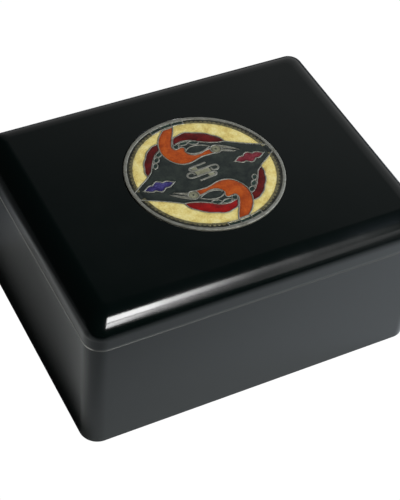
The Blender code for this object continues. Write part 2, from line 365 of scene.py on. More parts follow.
class Tone(Enum):
    """Enamel colours: name, main colour, deeper colour in the thick places, paler colour."""

    CREAM = ("cream", "#e0ce7c", "#c8ae60", "#ebe0a2")
    FIELD = ("slate_green", "#272d29", "#1b2120", "#333a33")
    TEAL = ("teal", "#22332d", "#152420", "#3d5447")
    ORANGE = ("orange", "#a64612", "#8c360c", "#b9591c")
    DEEP_RED = ("deep_red", "#540b09", "#3d0607", "#6e1511")
    SCARLET = ("scarlet", "#860a0a", "#6a0607", "#a01310")
    VIOLET = ("violet", "#2e275b", "#1f1a44", "#524e86")
    CRIMSON = ("crimson", "#691a24", "#4a0f18", "#8c4048")
    PALE = ("grey_green", "#7a7961", "#63634e", "#95957c")
    TRACK = ("bronze_black", "#2e2e25", "#181914", "#46473a")


@dataclass(frozen=True)
class GlassEnamel:
    """Ground-glass enamel fired between the wires and stoned nearly flush.

    The eye sees a strong colour with the fine mottling of the glass grains, deeper where it lies
    thick, painted shade that darkens it next to the wires, where it dips between them, and a glassy
    surface with a few pits.
    The grains are drawn coarser than real ones, so that they show.
    """

    tone: Tone
    roughness: float = 0.3
    ior: float = 1.52
    grain_mm: float = 0.45
    flow_mm: float = 3.2
    mottle_span: tuple[float, float, float] = (0.38, 0.5, 0.64)
    pit_height_mm: float = 0.01
    pit_strength: float = 0.5
    painted_shade_at_wires: float = 0.62

    def build(self) -> bpy.types.Material:
        """Make the material, which reads the mesh's "rim" attribute for its painted shade: 0 at the wires, 1
        well inside.

        Returns:
            The enamel.
        """
        name, main, deep, pale = self.tone.value
        finish = Finish(f"fired_enamel_{name}")
        tree = finish.tree
        flow = add_node(
            tree, "ShaderNodeTexNoise",
            {"Vector": finish.place, "Scale": per_metre(self.flow_mm), "Detail": 3.0, "Roughness": 0.55},
        )
        grains = add_node(
            tree, "ShaderNodeTexNoise",
            {"Vector": finish.place, "Scale": per_metre(self.grain_mm), "Detail": 3.0, "Roughness": 0.7},
        )
        mottle = add_node(
            tree, "ShaderNodeMath",
            {0: flow.outputs["Fac"], 1: grains.outputs["Fac"]}, operation="ADD",
        )
        half = add_node(tree, "ShaderNodeMath", {0: mottle.outputs["Value"], 1: 0.5}, operation="MULTIPLY")
        colours = [linear_colour(colour) for colour in (deep, main, pale)]
        tint = colour_ramp(
            add_node(tree, "ShaderNodeValToRGB", {"Fac": half.outputs["Value"]}),
            tuple(zip(self.mottle_span, colours)),
        )
        rim = add_node(tree, "ShaderNodeAttribute", attribute_name="rim")
        # Painted shade: the colour darkens towards the wires, where the enamel dips between them.
        shade = add_node(
            tree, "ShaderNodeMapRange",
            {"Value": rim.outputs["Fac"], "To Min": self.painted_shade_at_wires, "To Max": 1.0},
        )
        colour = add_node(
            tree, "ShaderNodeMix",
            {"Factor": 1.0, "A": tint.outputs["Color"], "B": shade.outputs["Result"]},
            data_type="RGBA", blend_type="MULTIPLY",
        )
        pits = add_node(
            tree, "ShaderNodeBump",
            {
                "Height": grains.outputs["Fac"], "Strength": self.pit_strength,
                "Distance": self.pit_height_mm * MM,
            },
        )
        feed(tree, finish.shader, {
            "Base Color": colour.outputs["Result"],
            "IOR": self.ior,
            "Roughness": self.roughness,
            "Normal": pits.outputs["Normal"],
        })
        return finish.material


def add_object(name: str, data: bpy.types.ID) -> bpy.types.Object:
    """Put a mesh, a light or a camera in the scene.

    Args:
        name: The object's name.
        data: What it shows.

    Returns:
        The new object.
    """
    item = bpy.data.objects.new(name, data)
    bpy.context.scene.collection.objects.link(item)
    return item


def finish_piece(mesh: bpy.types.Mesh, name: str, material: bpy.types.Material,
                 stands_for: str | None = None) -> bpy.types.Object:
    """Put a mesh in the scene as a piece of the box.

    Args:
        mesh: The finished mesh.
        name: The piece's name.
        material: Its finish.
        stands_for: The CAD node that the piece replaces, if any.

    Returns:
        The new object.
    """
    mesh.name = name
    mesh.materials.clear()
    mesh.materials.append(material)
    piece = add_object(name, mesh)
    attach(piece, BODY)
    if stands_for:
        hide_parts(stands_for)
    return piece


def join_rings(shape: bmesh.types.BMesh, rings: Sequence[Sequence[bmesh.types.BMVert]],
               closed: bool) -> None:
    """Bridge rings of vertices, each to the next.

    Args:
        shape: The bmesh that the rings are in.
        rings: The rings, of equal length and in order along the skin.
        closed: True to join the last ring to the first, False for a flat cap at each end.
    """
    pairs = list(zip(rings, rings[1:]))
    if closed:
        pairs.append((rings[-1], rings[0]))
    count = len(rings[0])
    for lower, upper in pairs:
        for index in range(count):
            following = (index + 1) % count
            shape.faces.new((lower[index], lower[following], upper[following], upper[index]))
    if not closed:
        shape.faces.new(list(reversed(rings[0])))
        shape.faces.new(rings[-1])


def skin(loops: Sequence[Sequence[Vector]], closed: bool = False) -> bpy.types.Mesh:
    """Join loops of equal length into one closed skin.

    Args:
        loops: Rings of points, in order along the skin.
        closed: True to join the last ring to the first, False for a flat cap at each end.

    Returns:
        A smooth-shaded mesh with its sharp edges marked.
    """
    shape = bmesh.new()
    join_rings(shape, [[shape.verts.new(point) for point in loop] for loop in loops], closed)
    bmesh.ops.recalc_face_normals(shape, faces=shape.faces)
    return smooth_mesh(shape)


def smooth_mesh(shape: bmesh.types.BMesh, sharp_degrees: float = 32.0) -> bpy.types.Mesh:
    """Turn a bmesh into a smooth-shaded mesh and free it.

    Args:
        shape: The shape to turn into a mesh.
        sharp_degrees: Edges that bend more than this stay sharp.

    Returns:
        The mesh.
    """
    mesh = bpy.data.meshes.new("piece")
    shape.to_mesh(mesh)
    shape.free()
    mesh.shade_smooth()
    mesh.set_sharp_from_angle(angle=math.radians(sharp_degrees))
    return mesh


def quarter(steps: int) -> list[tuple[float, float]]:
    """Return the sine and cosine of each step through a right angle, both ends included."""
    angles = [math.pi / 2 * step / steps for step in range(steps + 1)]
    return [(math.sin(angle), math.cos(angle)) for angle in angles]


@dataclass
class Carcass:
    """Sizes that the lid and the base share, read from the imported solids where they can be.

    Holding is how far from an arris a further ring lies, which keeps the arris crisp.
    """

    corner_radius: float = 5.8 * MM
    inner_arris: float = 0.3 * MM
    inner_corner_radius: float = 2.0 * MM
    lid_wall: float = 3.2 * MM
    seam_gap: float = 0.02 * MM
    gap: float = 0.3 * MM
    holding: float = 0.12 * MM
    corner_steps: int = 20
    arris_steps: int = 5

    def __post_init__(self) -> None:
        """Read the outside sizes and the seam from the CAD nodes."""
        low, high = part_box("lid")
        self.half_length = high.x
        self.half_width = high.y
        self.top = high.z
        self.seam = low.z - self.gap / 2
        self.lid_rim = self.seam + self.seam_gap / 2
        self.base_rim = self.seam - self.seam_gap / 2
        self.tongue_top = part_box("box_base")[1].z

    def ring(self, inset: float, height: float, radius: float) -> list[Vector]:
        """Return a rounded rectangle drawn in from the box's outline.

        Args:
            inset: How far inside the outline it lies.
            height: Its height above the table.
            radius: Its corner radius.

        Returns:
            Points anticlockwise from the right side's back end.
        """
        middle_x = self.half_length - inset - radius
        middle_y = self.half_width - inset - radius
        points = []
        for turn, (side_x, side_y) in enumerate(((1, 1), (-1, 1), (-1, -1), (1, -1))):
            for step in range(self.corner_steps + 1):
                angle = math.pi / 2 * (turn + step / self.corner_steps)
                points.append(Vector((
                    side_x * middle_x + radius * math.cos(angle),
                    side_y * middle_y + radius * math.sin(angle),
                    height,
                )))
        return points

    def outer(self, inset: float, height: float) -> list[Vector]:
        """Return a ring on the outside, its corner radius less by the inset."""
        return self.ring(inset, height, self.corner_radius - inset)


@dataclass
class BoxBase:
    """The lower part of the box: floor, walls, rim and the tongue that the lid fits over."""

    shared: Carcass
    finish: bpy.types.Material
    foot_arris: float = 0.5 * MM
    seam_arris: float = 0.05 * MM
    wall: float = 6.0 * MM
    floor: float = 5.0 * MM
    inner_fillet: float = 1.5 * MM

    def rings(self) -> list[list[Vector]]:
        """Draw the skin from the underside, up the outside, over the tongue and down to the floor.

        Returns:
            The skin's rings in that order.
        """
        shared = self.shared
        rings = []
        for rise, fall in quarter(shared.arris_steps):
            rings.append(shared.outer(self.foot_arris * (1 - rise), self.foot_arris * (1 - fall)))
        rings.append(shared.outer(0.0, self.foot_arris + shared.holding))
        rings.append(shared.outer(0.0, shared.base_rim - self.seam_arris - shared.holding))
        for rise, fall in quarter(shared.arris_steps):
            height = shared.base_rim - self.seam_arris * (1 - rise)
            rings.append(shared.outer(self.seam_arris * (1 - fall), height))
        face = shared.lid_wall + shared.gap
        arris = shared.inner_arris
        top = shared.tongue_top
        rings += [
            shared.outer(face, shared.base_rim),
            shared.outer(face, top - arris),
            shared.ring(face + arris, top, shared.corner_radius - face),
            shared.ring(self.wall - arris, top, shared.inner_corner_radius),
            shared.ring(self.wall, top - arris, shared.inner_corner_radius),
        ]
        for rise, fall in quarter(shared.arris_steps):
            inset = self.wall + self.inner_fillet * (1 - fall)
            height = self.floor + self.inner_fillet * (1 - rise)
            rings.append(shared.ring(inset, height, shared.inner_corner_radius))
        return rings

    def build(self) -> bpy.types.Object:
        """Return the dressed base."""
        return finish_piece(skin(self.rings()), "base_lacquered", self.finish, "box_base")


@dataclass
class Lid:
    """The lift-off lid: hollow below, well rounded along its top edges, sunk for the medallion."""

    shared: Carcass
    finish: bpy.types.Material
    top_edge_radius: float = 7.5 * MM
    top_corner_radius: float = 2.0 * MM
    hollow: float = 5.3 * MM
    easing_in: float = 0.25 * MM
    easing_up: float = 0.8 * MM
    sinking_arris: float = 0.03 * MM
    edge_steps: int = 28

    def __post_init__(self) -> None:
        """Read the sinking's size from the medallion's CAD node."""
        low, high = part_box("medallion")
        self.sinking_radius = high.x + self.shared.gap
        self.sinking_floor = low.z - self.shared.gap

    def rings(self) -> list[list[Vector]]:
        """Draw the skin from the hollow's ceiling, round the outside and down to the sinking.

        Returns:
            The skin's rings in that order.
        """
        shared = self.shared
        arris = shared.inner_arris
        ceiling = shared.seam + self.hollow
        wall = shared.lid_wall
        wall_radius = shared.corner_radius - wall
        rings = [
            shared.ring(wall + arris, ceiling, shared.inner_corner_radius),
            shared.ring(wall, ceiling - arris, wall_radius),
            shared.ring(wall, shared.lid_rim + arris, wall_radius),
            shared.ring(wall - arris, shared.lid_rim, wall_radius),
        ]
        for rise, fall in quarter(shared.arris_steps):
            height = shared.lid_rim + self.easing_up * (1 - fall)
            rings.append(shared.outer(self.easing_in * (1 - rise), height))
        rings.append(shared.outer(0.0, shared.lid_rim + self.easing_up + shared.holding))
        edge = self.top_edge_radius
        rings.append(shared.outer(0.0, shared.top - edge - shared.holding))
        for rise, fall in quarter(self.edge_steps):
            inset = edge * (1 - fall)
            shrink = (shared.corner_radius - self.top_corner_radius) * math.sqrt(inset / edge)
            rings.append(shared.ring(inset, shared.top - edge * (1 - rise), shared.corner_radius - shrink))
        rings.append(shared.ring(edge + shared.holding, shared.top, self.top_corner_radius))
        around = len(rings[0])
        for radius, height in (
            (self.sinking_radius + self.sinking_arris, shared.top),
            (self.sinking_radius, shared.top - self.sinking_arris),
            (self.sinking_radius, self.sinking_floor),
        ):
            rings.append(circle(radius, height, around))
        return rings

    def build(self) -> bpy.types.Object:
        """Return the dressed lid."""
        return finish_piece(skin(self.rings()), "lid_lacquered", self.finish, "lid")


def circle(radius: float, height: float, count: int) -> list[Vector]:
    """Return a level circle about the Z axis, starting half a step past the X axis."""
    angles = [2 * math.pi * (index + 0.5) / count for index in range(count)]
    return [Vector((radius * math.cos(angle), radius * math.sin(angle), height)) for angle in angles]


def polar(radius: float, degrees: float) -> Vector:
    """Return the flat point at a radius and an angle."""
    angle = math.radians(degrees)
    return Vector((radius * math.cos(angle), radius * math.sin(angle)))


def arc(centre: Vector, radius: float, start: float, end: float, steps: int) -> list[Vector]:
    """Return points along a flat arc, angles in degrees."""
    return [centre + polar(radius, start + (end - start) * step / steps) for step in range(steps + 1)]


def round_outline(centre: Vector, radius: float, count: int) -> list[Vector]:
    """Return the corners of a round outline, evenly spaced from the X axis round."""
    return arc(centre, radius, 0, 360 - 360 / count, count - 1)


def in_millimetres(pairs: Iterable[Flat]) -> list[Vector]:
    """Return flat points given as pairs of millimetres."""
    return [Vector(pair) * MM for pair in pairs]


def smooth_line(points: Sequence[Vector], steps: int) -> list[Vector]:
    """Return a Catmull-Rom curve through flat points.

    Args:
        points: The points that it passes through.
        steps: Steps in each span.

    Returns:
        The curve's points, both ends included.
    """
    ends = [2 * points[0] - points[1], *points, 2 * points[-1] - points[-2]]
    line = []
    for first, second, third, fourth in zip(ends, ends[1:], ends[2:], ends[3:]):
        for step in range(steps):
            t = step / steps
            slope = (third - first) * t
            bend = (2 * first - 5 * second + 4 * third - fourth) * t ** 2
            twist = (3 * second - first - 3 * third + fourth) * t ** 3
            line.append((2 * second + slope + bend + twist) / 2)
    return [*line, points[-1]]


def closed_lens(middle: Vector, half_length: float, rise_at: Callable[[float], float], steps: int,
                turn: float) -> list[Vector]:
    """Draw an outline that is the same above and below its middle line.

    Args:
        middle: The outline's middle point.
        half_length: Half the length of its middle line.
        rise_at: Gives the half-height at a share of the half-length, from -1 to 1.
        steps: Steps from tip to tip.
        turn: How far the middle line is turned, in radians.

    Returns:
        The closed outline's points.
    """
    facing = Matrix.Rotation(turn, 2)
    shares = [2 * step / steps - 1 for step in range(steps + 1)]
    upper = [middle + facing @ Vector((half_length * share, rise_at(share))) for share in shares]
    lower = [middle + facing @ Vector((half_length * share, -rise_at(share))) for share in shares[1:-1]]
    return [*upper, *reversed(lower)]


@dataclass
class Cell:
    """One enamel cell: its colour, its closed outline, and whether a wire runs round it."""

    tone: Tone
    outline: list[Vector]
    wired: bool = True


@dataclass(frozen=True)
class Wing:
    """A wing spread behind a crane: its two edges from root to tip, and the short coverts beside it.

    Places are in millimetres. A covert is an oval: the two places of its middle, its half-length,
    its half-height and its slope in degrees.
    """

    outer: Outline
    inner: Outline
    ovals: tuple[tuple[float, float, float, float, float], ...]
    lobes: int
    lobe_height: float = 0.25 * MM
    outer_steps: int = 10
    inner_steps: int = 6
    oval_corners: int = 24

    def outline(self) -> list[Vector]:
        """Draw the wing, lobed where its feathers end.

        Returns:
            The closed outline's points.
        """
        edge = smooth_line(in_millimetres(self.outer), self.outer_steps)
        last = len(edge) - 1
        lobed = []
        for index, point in enumerate(edge):
            rise = self.lobe_height * abs(math.sin(math.pi * self.lobes * index / last))
            lobed.append(point + point.normalized() * rise)
        return [*lobed, *reversed(smooth_line(in_millimetres(self.inner), self.inner_steps))]

    def coverts(self) -> list[list[Vector]]:
        """Draw the covert feathers.

        Returns:
            The closed outline of each.
        """
        rim = round_outline(ORIGIN, MM, self.oval_corners)
        feathers = []
        for across, up, half_length, half_height, slope in self.ovals:
            facing = Matrix.Rotation(math.radians(slope), 2)
            middle = Vector((across, up)) * MM
            oval = [Vector((point.x * half_length, point.y * half_height)) for point in rim]
            feathers.append([middle + facing @ point for point in oval])
        return feathers


@dataclass
class CranePicture:
    """The medallion's picture: two generic cranes wheeling about a scroll, with clouds between.

    Sizes are those of the upper half, and the lower half is the same turned half round. Places are
    in millimetres from the medallion's middle, and the scroll's are from its own place.
    """

    turn: float = math.radians(3.8)
    line_steps: int = 6
    round_corners: int = 24
    edge_margin: float = 0.01 * MM
    field_steps: int = 8
    field_lean: float = math.radians(1.2)
    field_edge: Outline = (
        (-24.6, 0.8), (-20.4, 3.3), (-16.9, 5.5), (-14.4, 9.3), (-12.2, 12.6), (-9.8, 14.9), (-5.0, 16.0),
        (0.5, 16.3), (4.3, 15.8), (7.5, 13.5), (10.3, 11.1), (12.5, 9.3), (17.4, 5.9), (24.6, 1.6),
    )
    back_line: Outline = (
        (-2.4, 21.9), (-4.7, 20.0), (-6.5, 17.7), (-7.6, 15.3), (-8.1, 12.9), (-7.9, 10.5), (-7.0, 8.2),
        (-5.4, 6.3), (-3.2, 5.4), (-0.9, 5.4), (1.2, 5.9), (3.0, 6.2), (4.9, 6.1), (7.0, 5.9),
    )
    breast_line: Outline = (
        (7.0, 8.3), (4.9, 8.1), (2.9, 7.7), (1.0, 7.9), (-0.3, 8.9), (-0.8, 10.3), (-0.3, 11.7),
        (-0.9, 12.6), (-2.2, 12.5), (-3.4, 12.6), (-3.6, 14.0), (-2.7, 15.8), (-1.4, 17.8), (0.0, 19.8),
        (1.2, 21.9),
    )
    head_place: Flat = (8.3, 7.3)
    head_radius: float = 1.75 * MM
    eye_radius: float = 0.35 * MM
    beaks: tuple[Outline, Outline] = (
        ((9.5, 8.7), (12.2, 6.7), (14.6, 4.2), (11.9, 6.1), (9.8, 7.7)),
        ((9.6, 6.8), (13.2, 4.0), (9.2, 6.0)),
    )
    leaf_place: Flat = (3.1, 9.8)
    leaf_half_length: float = 4.0 * MM
    leaf_half_height: float = 1.7 * MM
    leaf_fullness: float = 0.8
    leaf_swell: float = 0.25
    leaf_turn: float = math.radians(-7.0)
    leaf_steps: int = 24
    long_wing: Wing = Wing(
        (
            (-2.6, 15.4), (-1.2, 17.1), (1.3, 17.9), (3.9, 17.6),
            (6.8, 16.1), (9.7, 14.0), (11.6, 11.7), (12.6, 9.2),
        ),
        ((-2.9, 14.4), (0.2, 14.9), (2.9, 14.2), (4.9, 12.7), (7.7, 10.9), (10.4, 9.7)),
        ((-2.45, 13.5, 1.0, 0.85, 60.0), (0.3, 13.9, 1.5, 0.8, -4.0), (3.4, 12.9, 1.55, 0.8, -26.0)),
        4,
    )
    short_wing: Wing = Wing(
        ((-6.3, 17.1), (-9.8, 16.4), (-12.3, 14.4), (-14.7, 11.5), (-16.3, 8.4), (-16.9, 5.4)),
        ((-7.0, 14.6), (-9.6, 13.4), (-11.5, 11.6), (-13.2, 9.4), (-15.0, 6.8)),
        ((-9.0, 12.8, 1.25, 0.8, 38.0), (-10.9, 10.9, 1.25, 0.8, 48.0), (-12.5, 8.7, 1.2, 0.75, 56.0)),
        4,
    )
    tail_angles: tuple[float, ...] = (82.0, 91.8, 101.6)
    tail_half_angle: float = 4.8
    tail_steps: int = 6
    cloud_place: Flat = (15.8, -0.4)
    cloud_lean: float = math.radians(-3.0)
    cloud_half_length: float = 5.2 * MM
    cloud_half_height: float = 2.3 * MM
    cloud_lobes: int = 3
    cloud_waist: float = 0.62
    cloud_point: float = 1.6
    cloud_steps: int = 48
    scroll_place: Flat = (-0.5, 0.35)
    scroll_line: Outline = (
        (3.0, 0.35), (3.1, -0.55), (3.9, -0.98), (4.9, -0.8), (5.42, -0.05), (5.2, 0.75), (4.3, 1.15),
        (3.0, 1.2), (1.0, 1.15), (-1.2, 1.2), (-2.6, 1.4), (-3.4, 1.9), (-3.3, 2.6), (-2.5, 2.95),
        (0.0, 3.05), (2.7, 3.15),
    )
    scroll_ground: Outline = (
        (2.5, -1.2), (2.4, 1.2), (-0.9, 1.2), (-0.9, 2.9), (-2.9, 2.7),
        (-2.5, 1.2), (-2.4, -1.2), (0.9, -1.2), (0.9, -2.9), (2.9, -2.7),
    )

    def field(self) -> list[Vector]:
        """Return the dark field's outline, drawn beyond the toothed ring at left and right."""
        upper = smooth_line(in_millimetres(self.field_edge), self.field_steps)
        return [*upper, *(-point for point in upper)]

    def crane(self) -> list[Vector]:
        """Return a crane's tail, breast and neck: down its back to the head, and home by its breast."""
        back = smooth_line(in_millimetres(self.back_line), self.line_steps)
        return [*back, *smooth_line(in_millimetres(self.breast_line), self.line_steps)]

    def leaf_rise(self, share: float) -> float:
        """Tell the leaf's half-height.

        Args:
            share: The place along its half-length, from -1 to 1.

        Returns:
            The half-height there.
        """
        fullness = max(1 - share ** 2, 0.0) ** self.leaf_fullness
        return self.leaf_half_height * fullness * (1 - self.leaf_swell * share)

    def leaf(self) -> list[Vector]:
        """Return the leaf-shaped cell in the crook of a crane's neck."""
        place = Vector(self.leaf_place) * MM
        return closed_lens(place, self.leaf_half_length, self.leaf_rise, self.leaf_steps, self.leaf_turn)

    def cloud_rise(self, share: float) -> float:
        """Tell the cloud's half-height.

        Args:
            share: The place along its half-length, from -1 to 1.

        Returns:
            The half-height there.
        """
        wave = abs(math.cos(self.cloud_lobes / 2 * math.pi * share))
        lobes = self.cloud_waist + (1 - self.cloud_waist) * wave
        return self.cloud_half_height * (1 - abs(share) ** self.cloud_point) * lobes

    def cloud(self) -> list[Vector]:
        """Return the cloud near the right tip, with pointed ends and three lobes each side."""
        place = Vector(self.cloud_place) * MM
        return closed_lens(place, self.cloud_half_length, self.cloud_rise, self.cloud_steps, self.cloud_lean)

    def tail_cell(self, middle: float, track: Flat) -> list[Vector]:
        """Draw one tail feather, a short cell across the toothed track.

        Args:
            middle: The feather's angle in degrees.
            track: Inner and outer radius of the toothed track.

        Returns:
            The closed outline's points.
        """
        low = middle - self.tail_half_angle
        high = middle + self.tail_half_angle
        inner, outer = track
        near = arc(ORIGIN, inner, low, high, self.tail_steps)
        return [*near, *arc(ORIGIN, outer, high, low, self.tail_steps)]

    def half_cells(self, wing: Tone, cloud: Tone, track: Flat) -> list[Cell]:
        """Draw one half's cells.

        Args:
            wing: The colour of the half's longer wing.
            cloud: The colour of its cloud.
            track: Inner and outer radius of the toothed track.

        Returns:
            The cells of the upper half, the lowest first.
        """
        head = Vector(self.head_place) * MM
        eye = round_outline(head, self.eye_radius, self.round_corners // 2)
        wings = ((self.long_wing, wing), (self.short_wing, Tone.DEEP_RED))
        cells = [Cell(Tone.TEAL, self.tail_cell(angle, track)) for angle in self.tail_angles]
        cells += [Cell(tone, shape.outline()) for shape, tone in wings]
        cells += [Cell(Tone.TEAL, feather) for shape, _ in wings for feather in shape.coverts()]
        cells.append(Cell(Tone.ORANGE, self.crane()))
        cells.append(Cell(Tone.FIELD, self.leaf()))
        cells += [Cell(Tone.PALE, in_millimetres(beak)) for beak in self.beaks]
        cells.append(Cell(Tone.PALE, round_outline(head, self.head_radius, self.round_corners)))
        cells.append(Cell(Tone.FIELD, eye, wired=False))
        cells.append(Cell(cloud, self.cloud()))
        return cells

    def turned(self, outline: Sequence[Vector], half_turns: int) -> list[Vector]:
        """Return an outline turned to the picture's slant and by a number of half turns."""
        facing = Matrix.Rotation(self.turn + math.pi * half_turns, 2)
        return [facing @ point for point in outline]

    def cells(self, track: Flat) -> list[Cell]:
        """Draw every cell of the picture in its place.

        Args:
            track: Inner and outer radius of the toothed track.

        Returns:
            The cells, the lowest first.
        """
        inside = track[1] - self.edge_margin
        field = [point if point.length < inside else point.normalized() * inside for point in self.field()]
        cells = [Cell(Tone.FIELD, self.turned(field, 0))]
        halves = ((Tone.DEEP_RED, Tone.CRIMSON), (Tone.SCARLET, Tone.VIOLET))
        for half, (wing, cloud) in enumerate(halves):
            for cell in self.half_cells(wing, cloud, track):
                cells.append(Cell(cell.tone, self.turned(cell.outline, half), cell.wired))
        place = Vector(self.scroll_place) * MM
        ground = [place + point for point in in_millimetres(self.scroll_ground)]
        cells.append(Cell(Tone.PALE, self.turned(ground, 0), wired=False))
        return cells

    def strokes(self) -> list[list[Vector]]:
        """Draw the scroll's two broad strokes.

        Returns:
            Their middle lines, in place.
        """
        place = Vector(self.scroll_place) * MM
        line = smooth_line(in_millimetres(self.scroll_line), self.line_steps)
        return [self.turned([place + point * side for point in line], 0) for side in (1, -1)]


def covered(points: np.ndarray, outline: Sequence[Vector]) -> np.ndarray:
    """Tell which points lie inside a closed outline.

    Args:
        points: Flat points, one to a row.
        outline: The outline's corners in order.

    Returns:
        One truth value for each point.
    """
    corners = np.array(outline)
    following = np.roll(corners, -1, axis=0)
    hit = np.zeros(len(points), bool)
    for (x1, y1), (x2, y2) in zip(corners, following):
        spans = (y1 > points[:, 1]) != (y2 > points[:, 1])
        if y1 != y2:
            across = x1 + (points[:, 1] - y1) / (y2 - y1) * (x2 - x1)
            hit ^= spans & (points[:, 0] < across)
    return hit


def shown_runs(path: Sequence[Vector], covers: Sequence[Sequence[Vector]],
               spacing: float) -> list[list[Vector]]:
    """Cut a path into the stretches that no cover hides.

    Args:
        path: The path's points, with the first repeated at the end of a closed one.
        covers: Closed outlines that lie over it.
        spacing: Distance between the tested points along the path.

    Returns:
        The stretches that show.
    """
    dense = []
    for start, end in zip(path, path[1:]):
        count = max(1, math.ceil((end - start).length / spacing))
        dense += [start.lerp(end, step / count) for step in range(count)]
    dense.append(path[-1])
    hidden = np.zeros(len(dense), bool)
    for cover in covers:
        hidden |= covered(np.array(dense), cover)
    runs = [[]]
    for point, under in zip(dense, hidden):
        if under:
            runs.append([])
        else:
            runs[-1].append(point)
    return [run for run in runs if len(run) >= SHORTEST_RUN]


def segment_distance(points: np.ndarray, paths: Sequence[Sequence[Vector]]) -> np.ndarray:
    """Return each point's distance to the nearest of several paths.

    Args:
        points: Flat points, one to a row.
        paths: Paths of flat points.

    Returns:
        One distance for each point.
    """
    nearest = np.full(len(points), np.inf)
    for path in paths:
        for start, end in zip(path, path[1:]):
            along = np.array(end - start)
            square = max(along @ along, TOUCHING ** 2)
            share = np.clip((points - np.array(start)) @ along / square, 0.0, 1.0)
            gap = points - (np.array(start) + share[:, None] * along)
            nearest = np.minimum(nearest, np.hypot(gap[:, 0], gap[:, 1]))
    return nearest


def off_axis(degrees: float, axis: float) -> float:
    """Return how far an angle lies from an axis through the middle, in degrees."""
    return abs((degrees - axis + 90) % 180 - 90)


def crossing(before: Vector | None, point: Vector, after: Vector | None, longest: float) -> Vector:
    """Find the way across a path at one of its points.

    Args:
        before: The point before it, if any.
        point: The point.
        after: The point after it, if any.
        longest: The most that the way across may grow at a corner.

    Returns:
        The way across to the left, as long as the corner's mitre makes it.
    """
    arriving = (point - before).normalized() if before is not None else (after - point).normalized()
    leaving = (after - point).normalized() if after is not None else arriving
    folded = (arriving + leaving).length < FOLDED
    bisector = leaving if folded else (arriving + leaving).normalized()
    mitre = min(1 / max(bisector.dot(leaving), TOUCHING), longest)
    return Vector((-bisector.y, bisector.x)) * mitre


